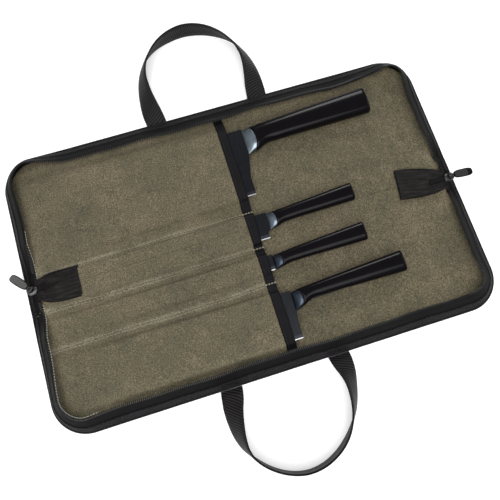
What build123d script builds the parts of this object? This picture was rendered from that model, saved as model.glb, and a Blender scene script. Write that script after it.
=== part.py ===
from build123d import *
from math import asin, atan2, cos, degrees, radians, sin, tan
import os

os.makedirs("parts", exist_ok=True)

# A zip-round canvas knife case, lying open flat, with four knives in its pockets.
# +X runs along the case towards the knives' butts, +Y towards the upper half, +Z up.
# The origin is the middle of the spine's outer face, which rests on the table.

# Case outline and its three panels, joined by two fold lines
case_length = 463.0
case_width = 295.0
corner_radius = 36.0
spine_width = 40.0
fold_gap = 0.3

# Layers of each panel, from the outside in
shell_thickness = 1.0
foam_thickness = 2.5
lining_thickness = 1.0
foam_inset = 3.8
lining_inset = 5.0

# Walls round three sides of each half, which lean inwards when the case is open.
# Beside each fold they start low and reach their full height over a ramp.
wall_rise = 21.5
wall_lean = 17.0
gusset_thickness = 1.2
gusset_share = 0.5
tape_thickness = 0.9
coil_thickness = 2.0
coil_rise = 2.2
ramp_run = 2.0
end_gusset_rise = 8.8
end_gusset_top_width = 24.0

# Pockets: one canvas panel over the left half of the case, bound along its free edge
mouth_x = 2.0
binding_width = 10.0
pocket_cloth = 1.0
binding_cloth = 1.7
pocket_clearance = 0.6
pocket_end_lift = 0.8
pocket_inset = 7.0
pocket_fold_gap = 2.0
blade_side_gap = 1.5
tunnel_slope = 3.5
steep_slope = 0.8

# Webbing end tabs over the zipper's two ends
tab_width = 32.5
tab_thickness = 1.6
tab_inner_x = 175.0
tab_end_width = 19.0
tab_end_gap = 0.5
tab_end_z = 9.8
tab_gap = 0.3

# Zipper sliders, the stubs of closed chain behind them, and their pulls
slider_length = 11.0
slider_width = 9.0
slider_height = 4.6
slider_inset = 9.0
slider_y = {"left": 2.0, "right": -8.5}
pull_heading = {"left": 131.0, "right": 0.0}
bridge_height = 2.3
pin_radius = 0.8
pin_clearance = 0.15
eye_wall = 0.9
eye_width = 3.2
post_width = 1.4
post_gap = 0.3
link_length = 8.0
link_thickness = 1.3
paddle_start = 5.0
paddle_length = 15.5
paddle_width = 8.0
paddle_thickness = 2.4
chain_width = 5.0
chain_thickness = 1.6
chain_length = 20.0
chain_clearance = 0.2

# Carry handles of webbing: flat legs, and a crown that stands on its edge
webbing_width = 22.0
webbing_thickness = 2.0
crown_thickness = 3.0
hinge_offset = 1.2
table_gap = 0.4

# Knives
blade_thickness = 2.0
edge_thickness = 0.5
bevel_width = 4.0
tang_length = 45.0
tang_width = 9.0
knife_clearance = 0.3

lining_bottom = shell_thickness + foam_thickness
lining_top = lining_bottom + lining_thickness
hinge_z = lining_top + 0.3
fold_y = spine_width / 2
wall_base = shell_thickness
wall_top = wall_base + wall_rise
gusset_top = wall_base + wall_rise * gusset_share
tape_top = wall_top - coil_rise
tall = 4 * wall_rise

PANELS = {
    "lower": (-case_width / 2, -fold_y - fold_gap),
    "spine": (-fold_y + fold_gap, fold_y - fold_gap),
    "upper": (fold_y + fold_gap, case_width / 2),
}
HALVES = {"lower": -1, "upper": 1}
ENDS = {"left": -1, "right": 1}


def lean_at(z):
    """How far the wall's outer face has come inwards at height z."""
    return (z - wall_base) * wall_lean / wall_rise


def case_outline(inset):
    """The whole case's rounded outline, drawn inset from its edge."""
    return RectangleRounded(case_length - 2 * inset, case_width - 2 * inset, corner_radius - inset)


# Flat layers: shell, foam and lining, each cut into the three panels
def make_layer(kind, bottom, thickness, inset):
    for panel, (low, high) in PANELS.items():
        with BuildPart() as layer:
            with BuildSketch(Plane.XY.offset(bottom)):
                case_outline(inset)
                with Locations((0, (low + high) / 2)):
                    Rectangle(case_length, high - low, mode=Mode.INTERSECT)
            extrude(amount=thickness)
        layer.part.label = f"{kind}_{panel}"
        export_step(layer.part, f"parts/{kind}_{panel}.step")


make_layer("shell", 0, shell_thickness, 0)
make_layer("foam", shell_thickness, foam_thickness, foam_inset)
make_layer("lining", lining_bottom, lining_thickness, lining_inset)


# Walls: leaning bands round three sides of each half, in three strips from the seam to the zipper
def make_wall(kind, low_z, high_z, thickness):
    angle = degrees(atan2(wall_lean, wall_rise))
    for half, side in HALVES.items():
        low, high = PANELS[half]
        hinge_y = side * fold_y
        with BuildPart() as wall:
            for inset, mode in ((0, Mode.ADD), (thickness, Mode.SUBTRACT)):
                with BuildSketch(Plane.XY.offset(low_z)):
                    case_outline(lean_at(low_z) + inset)
                extrude(amount=high_z - low_z, taper=angle, mode=mode)
            with BuildSketch(Plane.XY):
                with Locations((0, (low + high) / 2)):
                    Rectangle(case_length, high - low)
            extrude(amount=tall, mode=Mode.INTERSECT)
            with BuildSketch(Plane.YZ):
                with BuildLine():
                    Polyline(
                        (hinge_y, hinge_z),
                        (hinge_y + side * tall * ramp_run, hinge_z + tall),
                        (hinge_y, hinge_z + tall),
                        close=True,
                    )
                make_face()
            extrude(amount=case_length, both=True, mode=Mode.SUBTRACT)
        wall.part.label = f"{kind}_{half}"
        export_step(wall.part, f"parts/{kind}_{half}.step")


make_wall("gusset", wall_base, gusset_top, gusset_thickness)
make_wall("zipper_tape", gusset_top, tape_top, tape_thickness)
make_wall("zipper_coil", tape_top, wall_top, coil_thickness)

# Low gussets at the two ends of the spine, sloped down to both fold lines
end_gusset_top = wall_base + end_gusset_rise
end_foot = fold_y - fold_gap - 1.0
for end, side in ENDS.items():
    outer_x = side * case_length / 2
    top_x = outer_x - side * lean_at(end_gusset_top)
    with BuildPart() as end_gusset:
        with BuildSketch(Plane.XZ):
            with BuildLine():
                Polyline(
                    (outer_x, wall_base),
                    (top_x, end_gusset_top),
                    (top_x - side * gusset_thickness, end_gusset_top),
                    (outer_x - side * gusset_thickness, wall_base),
                    close=True,
                )
            make_face()
        extrude(amount=fold_y, both=True)
        with BuildSketch(Plane.YZ):
            with BuildLine():
                Polyline(
                    (-end_foot, wall_base),
                    (end_foot, wall_base),
                    (end_foot, hinge_z),
                    (end_gusset_top_width / 2, end_gusset_top),
                    (-end_gusset_top_width / 2, end_gusset_top),
                    (-end_foot, hinge_z),
                    close=True,
                )
            make_face()
        extrude(amount=case_length, both=True, mode=Mode.INTERSECT)
    end_gusset.part.label = f"end_gusset_{end}"
    export_step(end_gusset.part, f"parts/end_gusset_{end}.step")


# Knives. Each lies in its own tilted plane: local x towards the butt, local y towards the blade's
# back. The point is down by the lining, and the front of the handle rests on the lining.
class Knife:
    def __init__(self, name, front, point_gap, thick, sides, blade_length, heel, back, height):
        self.name = name
        self.front_x, self.front_y = front
        sink = knife_clearance + thick / 2 - blade_thickness / 2 - point_gap
        self.tilt = degrees(asin(sink / blade_length))
        self.thick = thick
        self.sides = sides
        self.blade_length = blade_length
        self.heel = heel
        self.back = back
        self.height = height
        self.centre_z = lining_top + knife_clearance + thick / 2
        slope = radians(self.tilt)
        self.plane = Plane(
            origin=(self.front_x, self.front_y, self.centre_z),
            x_dir=(cos(slope), 0, sin(slope)),
            z_dir=(-sin(slope), 0, cos(slope)),
        )

    def station(self, along, above, below):
        """A plane across the handle, centred between its upper and lower edges there."""
        centre = self.plane.from_local_coords((along, (above - below) / 2, 0))
        return Plane(origin=centre, x_dir=self.plane.y_dir, z_dir=self.plane.x_dir)

    def blade_top(self, x):
        """Height of the blade's upper face over the lining at x."""
        rise = (x - self.front_x) * tan(radians(self.tilt))
        return self.centre_z + rise + blade_thickness / 2 - lining_top


# point_gap is the blade's point over the lining, which sets the tilt.
# sides: distance along from the front of the bolster, then the edge above and below the axis
broad_knife = Knife(
    "broad_knife", (28.0, 93.5), 0.5, 15.0,
    [(0, 12.9, 15.0), (11, 14.0, 12.6), (23, 14.9, 7.4), (38, 15.7, 7.0), (90, 18.4, 7.3), (140, 20.9, 7.7)],
    190.0, 6.0, 15.0, 75.0,
)
utility_knife = Knife(
    "utility_knife", (24.5, 2.0), 0.3, 12.0,
    [(0, 8.2, 10.0), (8, 8.3, 8.2), (16, 8.8, 5.8), (27, 9.5, 5.2), (60, 11.5, 5.2), (94, 13.6, 5.3)],
    130.0, 3.0, 9.7, 27.5,
)
paring_knife = Knife(
    "paring_knife", (17.0, -40.5), 1.84, 12.0,
    [(0, 6.0, 9.0), (8, 6.6, 7.6), (16, 7.3, 6.0), (28, 8.1, 5.8), (62, 10.2, 6.5), (99, 12.3, 7.3)],
    90.0, 1.0, 7.4, 16.1,
)
chef_knife = Knife(
    "chef_knife", (22.7, -82.0), 0.17, 15.0,
    [(0, 5.6, 14.0), (9, 7.1, 11.0), (20, 7.8, 6.4), (34, 8.7, 6.1), (75, 11.0, 7.1), (119, 13.4, 8.3)],
    200.0, 1.6, 7.9, 48.6,
)
KNIVES = [broad_knife, utility_knife, paring_knife, chef_knife]


# The handle and its steel bolster share one smooth outside. The bolster is the front of it, cut
# off along a curve that bulges towards the butt, and it thins down to the blade.
def make_grip(knife, front_thickness, mode):
    """Loft the outside through the knife's stations; the mode says which side of the curve stays."""
    front, second = knife.sides[0], knife.sides[1]
    with BuildPart() as grip:
        for along, above, below in (front, second):
            thick = front_thickness if along == 0 else knife.thick
            with BuildSketch(knife.station(along, above, below)):
                RectangleRounded(above + below, thick, thick * 0.38)
        loft(ruled=True)
        for along, above, below in knife.sides[1:]:
            with BuildSketch(knife.station(along, above, below)):
                RectangleRounded(above + below, knife.thick, knife.thick * 0.38)
        loft()
        with BuildSketch(knife.plane.offset(-knife.thick)):
            with BuildLine():
                ThreePointArc(
                    (front[0] + 1.0, front[1] + 3.0),
                    (second[0] - 1.0, (second[1] - second[2]) / 2),
                    (front[0] + 1.0, -front[2] - 3.0),
                )
                Polyline(
                    (front[0] + 1.0, -front[2] - 3.0),
                    (front[0] - 5.0, -front[2] - 3.0),
                    (front[0] - 5.0, front[1] + 3.0),
                    (front[0] + 1.0, front[1] + 3.0),
                )
            make_face()
        extrude(amount=2 * knife.thick, mode=mode)
        with BuildSketch(knife.plane.offset(-blade_thickness / 2)):
            with Locations((tang_length / 2, (front[1] - front[2]) / 4)):
                Rectangle(tang_length, tang_width)
        extrude(amount=blade_thickness, mode=Mode.SUBTRACT)
    return grip.part


def make_blade(knife):
    """The blade with its tang: flat, with a bevel ground along the cutting edge on both faces."""
    front = knife.sides[0]
    edge_y = knife.back - knife.height
    with BuildPart() as blade:
        with BuildSketch(knife.plane.offset(-blade_thickness / 2)):
            with BuildLine():
                Polyline((0, knife.back), (-knife.blade_length * 0.72, knife.back))
                Spline(
                    (-knife.blade_length * 0.72, knife.back),
                    (-knife.blade_length, knife.back - knife.height * 0.62),
                    tangents=((-1, 0), (-0.35, -1)),
                )
                Spline(
                    (-knife.blade_length, knife.back - knife.height * 0.62),
                    (-knife.blade_length * 0.6, edge_y),
                    tangents=((0.6, -0.8), (1, 0)),
                )
                Polyline(
                    (-knife.blade_length * 0.6, edge_y),
                    (-knife.heel, edge_y),
                    (-knife.heel, edge_y + knife.height * 0.25),
                    (0, -front[2] + 0.8),
                    (0, knife.back),
                )
            make_face()
        extrude(amount=blade_thickness)
        with BuildSketch(knife.plane.offset(-blade_thickness / 2)):
            with Locations((tang_length / 2, (front[1] - front[2]) / 4)):
                Rectangle(tang_length, tang_width)
        extrude(amount=blade_thickness)
        straight = knife.blade_length * 0.6 - knife.heel
        bevel_plane = knife.station(-knife.heel + 1.0, edge_y, -edge_y)
        for face in (1, -1):
            with BuildSketch(bevel_plane):
                with BuildLine():
                    Polyline(
                        (-0.5, face * edge_thickness / 2),
                        (bevel_width, face * blade_thickness / 2),
                        (bevel_width, face * blade_thickness),
                        (-0.5, face * blade_thickness),
                        close=True,
                    )
                make_face()
            extrude(amount=-straight - 1.0, mode=Mode.SUBTRACT)
    return blade.part


for knife in KNIVES:
    pieces = {
        "blade": make_blade(knife),
        "bolster": make_grip(knife, blade_thickness + 1.2, Mode.INTERSECT),
        "handle": make_grip(knife, blade_thickness + 1.2, Mode.SUBTRACT),
    }
    for piece, solid in pieces.items():
        solid.label = f"{knife.name}_{piece}"
        export_step(solid, f"parts/{knife.name}_{piece}.step")


# Pocket panel and its binding, in three strips that part at the folds. Between stitch lines the
# cloth stands over each blade in a tunnel that sinks towards the closed end.
def tunnel(knife, low_slope, high_slope):
    """The clear span across one blade, and the run of the cloth's slope on each side of it."""
    high = knife.front_y + knife.back + blade_side_gap
    low = knife.front_y + knife.back - knife.height - blade_side_gap
    return knife, low, high, low_slope, high_slope


def strip_face(low, high, tunnels, cloth, x):
    """Cross-section of one strip of pocket cloth at x, from y = low to y = high."""
    under = [(low, 0)]
    over = [(low, cloth)]
    for knife, bottom, top, low_slope, high_slope in tunnels:
        share = max(0.0, (mouth_x - x) / (mouth_x + case_length / 2))
        lift = knife.blade_top(max(x, mouth_x)) + pocket_clearance
        lift = lift * (1 - share) + pocket_end_lift * share
        side = cloth * 0.8
        under += [(bottom - low_slope, 0), (bottom, lift), (top, lift), (top + high_slope, 0)]
        if low_slope:
            over += [(bottom - low_slope - side, cloth)]
            over += [(bottom - side, lift + cloth)]
        else:
            over[-1] = (low, lift + cloth)
        over += [(top + side, lift + cloth), (top + high_slope + side, cloth)]
    under += [(high, 0)]
    over += [(high, cloth)]
    with BuildSketch(Plane.YZ.offset(x)) as face:
        with BuildLine():
            Polyline([(y, z + lining_top) for y, z in under + over[::-1]], close=True)
        make_face()
    return face.sketch


STRIPS = {
    "lower": (
        -case_width / 2,
        -fold_y - pocket_fold_gap,
        [tunnel(chef_knife, 6.0, tunnel_slope), tunnel(paring_knife, tunnel_slope, steep_slope)],
    ),
    "spine": (-fold_y + pocket_fold_gap, fold_y - pocket_fold_gap, [tunnel(utility_knife, 0, 2.5)]),
    "upper": (fold_y + pocket_fold_gap, case_width / 2, [tunnel(broad_knife, steep_slope, 14.0)]),
}
for panel, (low, high, tunnels) in STRIPS.items():
    for kind, cloth, from_x, to_x in (
        ("pocket_panel", pocket_cloth, -case_length / 2, mouth_x),
        ("pocket_binding", binding_cloth, mouth_x, mouth_x + binding_width),
    ):
        with BuildPart() as strip:
            for x in (from_x, to_x):
                add(strip_face(low, high, tunnels, cloth, x))
            loft(ruled=True)
            with BuildSketch(Plane.XY):
                case_outline(pocket_inset)
            extrude(amount=tall, mode=Mode.INTERSECT)
        strip.part.label = f"{kind}_{panel}"
        export_step(strip.part, f"parts/{kind}_{panel}.step")


# End tabs: wide webbing sewn down at its inner end, rising and narrowing to the zipper slider
spine_cloth_top = utility_knife.blade_top(mouth_x) + pocket_clearance
left_share = (mouth_x + tab_inner_x) / (mouth_x + case_length / 2)
left_rise = spine_cloth_top * (1 - left_share) + pocket_end_lift * left_share + pocket_cloth
tab_foot = {"left": lining_top + left_rise + tab_gap, "right": lining_top + tab_gap}
tab_outer_x = case_length / 2 - slider_inset - slider_length / 2 - tab_end_gap
chain_z = tab_end_z + tab_thickness + chain_clearance
for end, side in ENDS.items():
    middle_x = (tab_inner_x + tab_outer_x) / 2
    middle_z = (tab_foot[end] + tab_end_z) / 2
    stations = [
        (tab_inner_x, 0, tab_foot[end], tab_width),
        (middle_x, slider_y[end] * 0.3, middle_z, tab_width),
        (tab_outer_x, slider_y[end], tab_end_z, tab_end_width),
    ]
    with BuildPart() as tab:
        for x, y, z, width in stations:
            with BuildSketch(Plane.YZ.offset(side * x)):
                with Locations((y, z + tab_thickness / 2)):
                    RectangleRounded(width, tab_thickness, tab_thickness * 0.4)
        loft()
    tab.part.label = f"end_tab_{end}"
    export_step(tab.part, f"parts/end_tab_{end}.step")

# Zipper sliders with a bridge pin, the closed chain behind them, and the pulls on the pins
slider_bottom = chain_z + chain_thickness / 2 - slider_height / 2
slider_top = slider_bottom + slider_height
pin_z = slider_top + bridge_height
eye_outer = pin_radius + pin_clearance + eye_wall
post_y = eye_width / 2 + post_gap + post_width / 2
for end, side in ENDS.items():
    slider_x = side * (case_length / 2 - slider_inset)
    heading = radians(pull_heading[end])
    pull_plane = Plane(
        origin=(slider_x, slider_y[end], pin_z),
        x_dir=(cos(heading), sin(heading), 0),
        z_dir=(0, 0, 1),
    )
    pin_plane = Plane(origin=pull_plane.origin, x_dir=pull_plane.x_dir, z_dir=pull_plane.y_dir)
    with BuildPart() as slider:
        with BuildSketch(Plane.XY.offset(slider_bottom)):
            with Locations((slider_x, slider_y[end])):
                RectangleRounded(slider_length, slider_width, slider_width * 0.3)
        extrude(amount=slider_height)
        with BuildSketch(Plane.YZ):
            with Locations((slider_y[end], chain_z + chain_thickness / 2)):
                Rectangle(chain_width + 2 * chain_clearance, chain_thickness + 2 * chain_clearance)
        extrude(amount=case_length, both=True, mode=Mode.SUBTRACT)
        with BuildSketch(pull_plane.offset(-bridge_height)):
            with Locations((0, post_y), (0, -post_y)):
                Rectangle(3 * pin_radius, post_width)
        extrude(amount=bridge_height + pin_radius)
        with BuildSketch(pin_plane):
            Circle(pin_radius)
        extrude(amount=post_y, both=True)
    slider.part.label = f"slider_{end}"
    export_step(slider.part, f"parts/slider_{end}.step")

    inner_x = slider_x - side * chain_length
    with BuildPart() as chain:
        with BuildSketch(Plane.XY.offset(chain_z)):
            with Locations(((slider_x + inner_x) / 2, slider_y[end])):
                Rectangle(chain_length, chain_width)
        extrude(amount=chain_thickness)
    chain.part.label = f"zipper_end_{end}"
    export_step(chain.part, f"parts/zipper_end_{end}.step")

    with BuildPart() as link:
        with BuildSketch(pin_plane):
            Circle(eye_outer)
            with Locations((link_length / 2, 0)):
                Rectangle(link_length, link_thickness)
            Circle(pin_radius + pin_clearance, mode=Mode.SUBTRACT)
        extrude(amount=eye_width / 2, both=True)
    link.part.label = f"pull_link_{end}"
    export_step(link.part, f"parts/pull_link_{end}.step")

    with BuildPart() as paddle:
        with BuildSketch(pull_plane.offset(-paddle_thickness / 2)):
            with Locations((paddle_start + paddle_length / 2, 0)):
                RectangleRounded(paddle_length, paddle_width, paddle_width * 0.35)
        extrude(amount=paddle_thickness)
        with BuildSketch(pin_plane):
            with Locations((link_length / 2, 0)):
                Rectangle(link_length, link_thickness)
        extrude(amount=eye_width / 2, both=True, mode=Mode.SUBTRACT)
    paddle.part.label = f"pull_{end}"
    export_step(paddle.part, f"parts/pull_{end}.step")


# Carry handles. Distances outwards are from the edge of the case. Each leg is flat at its foot and
# narrows in plan as the webbing turns on edge; the crown is an upright band.
def make_handle(half, side, left_foot, right_foot, left_turn, right_turn, reach):
    edge = case_width / 2
    start = hinge_offset
    with BuildPart() as handle:
        for foot, turn in ((left_foot, left_turn), (right_foot, right_turn)):
            turn_x, turn_out = turn
            waist = foot * 0.75 + turn_x * 0.25
            outline = [
                (foot - webbing_width / 2, start),
                (foot + webbing_width / 2, start),
                (waist + webbing_width * 0.4, turn_out * 0.55),
                (turn_x + crown_thickness / 2, turn_out),
                (turn_x - crown_thickness / 2, turn_out),
                (waist - webbing_width * 0.4, turn_out * 0.55),
            ]
            with BuildSketch(Plane.XY.offset(table_gap)):
                with BuildLine():
                    Polyline([(x, side * (edge + out)) for x, out in outline], close=True)
                make_face()
            extrude(amount=webbing_thickness)
        with BuildSketch(Plane.XY.offset(table_gap)):
            with BuildLine():
                Spline(
                    (left_turn[0], side * (edge + left_turn[1])),
                    ((left_turn[0] + right_turn[0]) / 2, side * (edge + reach)),
                    (right_turn[0], side * (edge + right_turn[1])),
                    tangents=((0.25, side), (0.25, -side)),
                )
            trace(line_width=crown_thickness)
        extrude(amount=webbing_width)
    handle.part.label = f"carry_handle_{half}"
    export_step(handle.part, f"parts/carry_handle_{half}.step")


make_handle("upper", 1, -57.0, 58.0, (-45.0, 74.0), (52.0, 68.0), 97.0)
make_handle("lower", -1, -61.0, 50.5, (-57.0, 69.0), (36.0, 69.0), 93.0)
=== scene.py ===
import math
import random

import bpy
import numpy as np
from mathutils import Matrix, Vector


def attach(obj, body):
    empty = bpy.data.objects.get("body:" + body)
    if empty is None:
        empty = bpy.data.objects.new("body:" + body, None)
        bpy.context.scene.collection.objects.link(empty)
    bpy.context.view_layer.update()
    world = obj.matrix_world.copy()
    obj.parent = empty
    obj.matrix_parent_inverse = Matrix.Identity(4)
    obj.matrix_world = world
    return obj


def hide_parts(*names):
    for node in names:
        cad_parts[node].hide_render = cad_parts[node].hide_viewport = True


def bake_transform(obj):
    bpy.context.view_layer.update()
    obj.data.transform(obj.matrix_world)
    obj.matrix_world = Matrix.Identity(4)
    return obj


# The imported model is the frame. Lengths below are in millimetres and become metres in the meshes.
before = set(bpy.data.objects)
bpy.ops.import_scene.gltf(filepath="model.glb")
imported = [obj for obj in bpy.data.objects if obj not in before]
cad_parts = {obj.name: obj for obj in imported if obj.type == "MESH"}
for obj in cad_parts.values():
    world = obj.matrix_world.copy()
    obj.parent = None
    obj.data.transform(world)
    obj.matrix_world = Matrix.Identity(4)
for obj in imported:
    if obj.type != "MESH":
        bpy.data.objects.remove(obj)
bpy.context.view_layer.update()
MM = 0.001

# Camera: nearly overhead, standing a little to the near side, so the case lies turned in view.
CAMERA_LENS = 39.38
CAMERA_PLACE = (-0.0499, -0.1501, 0.5540)
CAMERA_TURN = (14.108, -0.718, -17.413)
camera = bpy.data.objects.new("camera", bpy.data.cameras.new("camera"))
camera.data.lens = CAMERA_LENS
camera.data.clip_start = 0.01
camera.location = CAMERA_PLACE
camera.rotation_euler = [math.radians(turn) for turn in CAMERA_TURN]
bpy.context.collection.objects.link(camera)
bpy.context.scene.camera = camera

# Studio: a pale floor, a white surround and four soft lamps, the strongest high on the near side.
FLOOR_SIZE = 9.0
FLOOR_DROP = 0.0004
FLOOR_PAINT = {
    "Base Color": (0.92, 0.92, 0.92, 1),
    "Roughness": 0.9,
    "Emission Color": (1, 1, 1, 1),
    "Emission Strength": 0.28,
}
SURROUND_STRENGTH = 0.33
floor_mesh = bpy.data.meshes.new("studio_floor")
floor_corners = ((-1, -1), (1, -1), (1, 1), (-1, 1))
floor_points = [(x * FLOOR_SIZE, y * FLOOR_SIZE, -FLOOR_DROP) for x, y in floor_corners]
floor_mesh.from_pydata(floor_points, [], [(0, 1, 2, 3)])
studio_floor = bpy.data.objects.new("studio_floor", floor_mesh)
bpy.context.collection.objects.link(studio_floor)
floor_paint = bpy.data.materials.new("floor_paint")
floor_paint.use_nodes = True
for socket, value in FLOOR_PAINT.items():
    floor_paint.node_tree.nodes["Principled BSDF"].inputs[socket].default_value = value
floor_mesh.materials.append(floor_paint)

surround = bpy.data.worlds.new("surround")
surround.use_nodes = True
surround.node_tree.nodes["Background"].inputs["Color"].default_value = (1, 1, 1, 1)
surround.node_tree.nodes["Background"].inputs["Strength"].default_value = SURROUND_STRENGTH
bpy.context.scene.world = surround
bpy.context.scene.view_settings.view_transform = "Standard"

LAMPS = [
    ("high_lamp", (-0.30, -0.72, 1.50), 1.6, 29.5),
    ("far_lamp", (0.62, 1.60, 1.25), 0.6, 12.0),
    ("left_lamp", (-1.75, 0.10, 1.35), 1.5, 3.5),
    ("right_lamp", (1.75, 0.10, 1.35), 1.5, 12.0),
]
for name, place, size, power in LAMPS:
    light = bpy.data.lights.new(name, "AREA")
    light.size = size
    light.energy = power
    lamp = bpy.data.objects.new(name, light)
    lamp.location = place
    lamp.rotation_euler = Vector(place).to_track_quat("Z", "Y").to_euler()
    bpy.context.collection.objects.link(lamp)


# Outer cover and foam
# The case's outside is black nylon, glued and sewn round a thin sheet of closed-cell foam. Each
# half is quilted by its own edge, and it is made thinner along the two fold lines beside the spine.
class Strand:
    """A value running through a finish. Sums, products and powers of strands add Math nodes."""

    def __init__(self, finish, socket):
        self.finish = finish
        self.socket = socket

    def worked(self, operation, first, second=0.0):
        return self.finish.node("ShaderNodeMath", {"operation": operation}, {0: first, 1: second})

    def __add__(self, other):
        return self.worked("ADD", self, other)

    def __sub__(self, other):
        return self.worked("SUBTRACT", self, other)

    def __rsub__(self, other):
        return self.worked("SUBTRACT", other, self)

    def __mul__(self, other):
        return self.worked("MULTIPLY", self, other)

    def __pow__(self, other):
        return self.worked("POWER", self, other)

    def sine(self):
        return self.worked("SINE", self)

    def held(self):
        """The strand kept between 0 and 1."""
        return self.finish.node("ShaderNodeClamp", {}, {"Value": self})

    __radd__ = __add__
    __rmul__ = __mul__


class Finish:
    """One material of the case. The words for its fixed sockets are the shader's own names."""

    def __init__(self, name, colour, roughness, **fixed):
        self.material = bpy.data.materials.new(name)
        self.material.use_nodes = True
        self.tree = self.material.node_tree
        self.shader = self.tree.nodes["Principled BSDF"]
        self.shader.inputs["Base Color"].default_value = (*colour, 1)
        self.shader.inputs["Roughness"].default_value = roughness
        for words, value in fixed.items():
            self.shader.inputs[words.replace("_", " ")].default_value = value

    def node(self, kind, settings, values, out=0):
        """Adds a node: its settings first, then values or strands into its sockets."""
        made = self.tree.nodes.new(kind)
        for setting, value in settings.items():
            if setting == "stops":
                ramp = made.color_ramp
                while len(ramp.elements) < len(value):
                    ramp.elements.new(1.0)
                for stop, (place, colour) in zip(ramp.elements, value):
                    stop.position = place
                    stop.color = (*colour, 1)
            else:
                setattr(made, setting, value)
        for socket, value in values.items():
            if isinstance(value, Strand):
                self.tree.links.new(value.socket, made.inputs[socket])
            else:
                made.inputs[socket].default_value = value
        return Strand(self, made.outputs[out])

    def feed(self, socket, strand):
        self.tree.links.new(strand.socket, self.shader.inputs[socket])

    def place(self):
        """The point on the piece, in metres of the row frame."""
        return self.node("ShaderNodeTexCoord", {}, {}, "Object")

    def cloudy(self, period, detail=2.0, roughness=0.5, where=None, stretch=None):
        """Noise between 0 and 1 whose patches are about the period in millimetres."""
        where = where or self.place()
        if stretch:
            where = self.node("ShaderNodeMapping", {}, {"Vector": where, "Scale": stretch})
        values = {"Vector": where, "Scale": 1000 / period, "Detail": detail, "Roughness": roughness}
        return self.node("ShaderNodeTexNoise", {}, values)

    def ramp(self, strand, *stops):
        return self.node("ShaderNodeValToRGB", {"stops": stops}, {"Fac": strand})

    def mixed(self, share, first, second, way="MIX"):
        """Two colours mixed by a share of the second."""
        values = {0: share}
        for socket, colour in ((6, first), (7, second)):
            values[socket] = colour if isinstance(colour, Strand) else (*colour, 1)
        return self.node("ShaderNodeMix", {"data_type": "RGBA", "blend_type": way}, values, 2)

    def raise_by(self, height, distance):
        """Bumps the surface by a height between 0 and 1, times the distance in millimetres."""
        values = {"Height": height, "Distance": distance * MM, "Strength": 1.0}
        self.feed("Normal", self.node("ShaderNodeBump", {}, values, "Normal"))

    def rows(self, pitch, axis, where=None):
        """Ridges of one pitch in millimetres along an axis of the piece, from 0 to 1."""
        split = self.node("ShaderNodeSeparateXYZ", {}, {"Vector": where or self.place()}, axis)
        return (split * (2 * math.pi * 1000 / pitch)).sine() * 0.5 + 0.5


def woven(name, colour, roughness, pitch, warm, bump=0.12):
    """A plain weave with threads of one pitch, slow changes of shade, and a little lint."""
    cloth = Finish(name, colour, roughness, Specular_IOR_Level=0.1)
    threads = cloth.rows(pitch, "X") * cloth.rows(pitch, "Y") + cloth.rows(pitch, "Z") * 0.5
    patches = cloth.cloudy(38, 3)
    lint = cloth.cloudy(1.4, 3, 0.7) ** 6.0 * 2.4
    shade = cloth.ramp(
        patches, (0.3, [c * 0.78 for c in colour]), (0.7, [c * w for c, w in zip(colour, warm)])
    )
    shade = cloth.mixed((threads * 0.3).held(), shade, [c * 1.5 for c in colour])
    cloth.feed("Base Color", cloth.mixed(lint.held(), shade, [c * 2.6 + 0.01 for c in colour]))
    cloth.feed("Roughness", patches * 0.16 + (roughness - 0.08))
    cloth.raise_by(threads + cloth.cloudy(7, 2) * 1.5, bump)
    return cloth


def piece_of(name, points, faces, finish, flat=None, attributes=None):
    """A mesh piece from points in millimetres. flat gives each point's place on the cut cloth."""
    mesh = bpy.data.meshes.new(name)
    mesh.from_pydata((np.asarray(points, float).reshape(-1, 3) * MM).tolist(), [], faces)
    mesh.materials.append(finish.material)
    mesh.polygons.foreach_set("use_smooth", [True] * len(mesh.polygons))
    if flat is not None:
        layer = mesh.uv_layers.new(name="cut")
        corners = np.zeros(len(mesh.loops), int)
        mesh.loops.foreach_get("vertex_index", corners)
        layer.data.foreach_set("uv", (np.asarray(flat, float).reshape(-1, 2)[corners] * MM).ravel())
    for label, values in (attributes or {}).items():
        layer = mesh.attributes.new(label, "FLOAT", "POINT")
        layer.data.foreach_set("value", np.asarray(values, np.float32).ravel())
    mesh.validate()
    piece = bpy.data.objects.new(name, mesh)
    bpy.context.collection.objects.link(piece)
    return piece


def net(rows, columns, wrap=False, start=0):
    """Quads over a grid of points; wrap joins the last column to the first."""
    faces = []
    for row in range(rows - 1):
        for column in range(columns if wrap else columns - 1):
            a = start + row * columns + column
            b = start + row * columns + (column + 1) % columns
            faces.append((a, b, b + columns, a + columns))
    return faces


def tube(rows, sides):
    """Faces of a closed tube: quads over its rings, and a cap at each end."""
    caps = [tuple(range(sides)), tuple(rows * sides - 1 - k for k in range(sides))]
    return net(rows, sides, True) + caps


def layer_of(name, top, bottom, finish, flat=None, attributes=None):
    """A closed layer between two grids of points, such as a sheet of cloth or foam."""
    rows, columns = top.shape[:2]
    count = rows * columns
    faces = net(rows, columns) + [face[::-1] for face in net(rows, columns, start=count)]
    grid = np.arange(count).reshape(rows, columns)
    rim = [*grid[0], *grid[1:, -1], *grid[-1, -2::-1], *grid[-2:0:-1, 0]]
    rim = [int(corner) for corner in rim]
    faces += [(a, a + count, b + count, b) for a, b in zip(rim, rim[1:] + rim[:1])]
    both = {
        label: np.concatenate([v.ravel(), v.ravel()])
        for label, v in (attributes or {}).items()
    }
    double = None if flat is None else np.concatenate([flat.reshape(-1, 2)] * 2)
    points = np.concatenate([top.reshape(-1, 3), bottom.reshape(-1, 3)])
    return piece_of(name, points, faces, finish, double, both)


CASE_LENGTH, CASE_WIDTH, CORNER = 463.0, 295.0, 36.0
FOLD = 20.0
CORNER_ROWS = 24
WAVE_COUNT = 9


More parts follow.
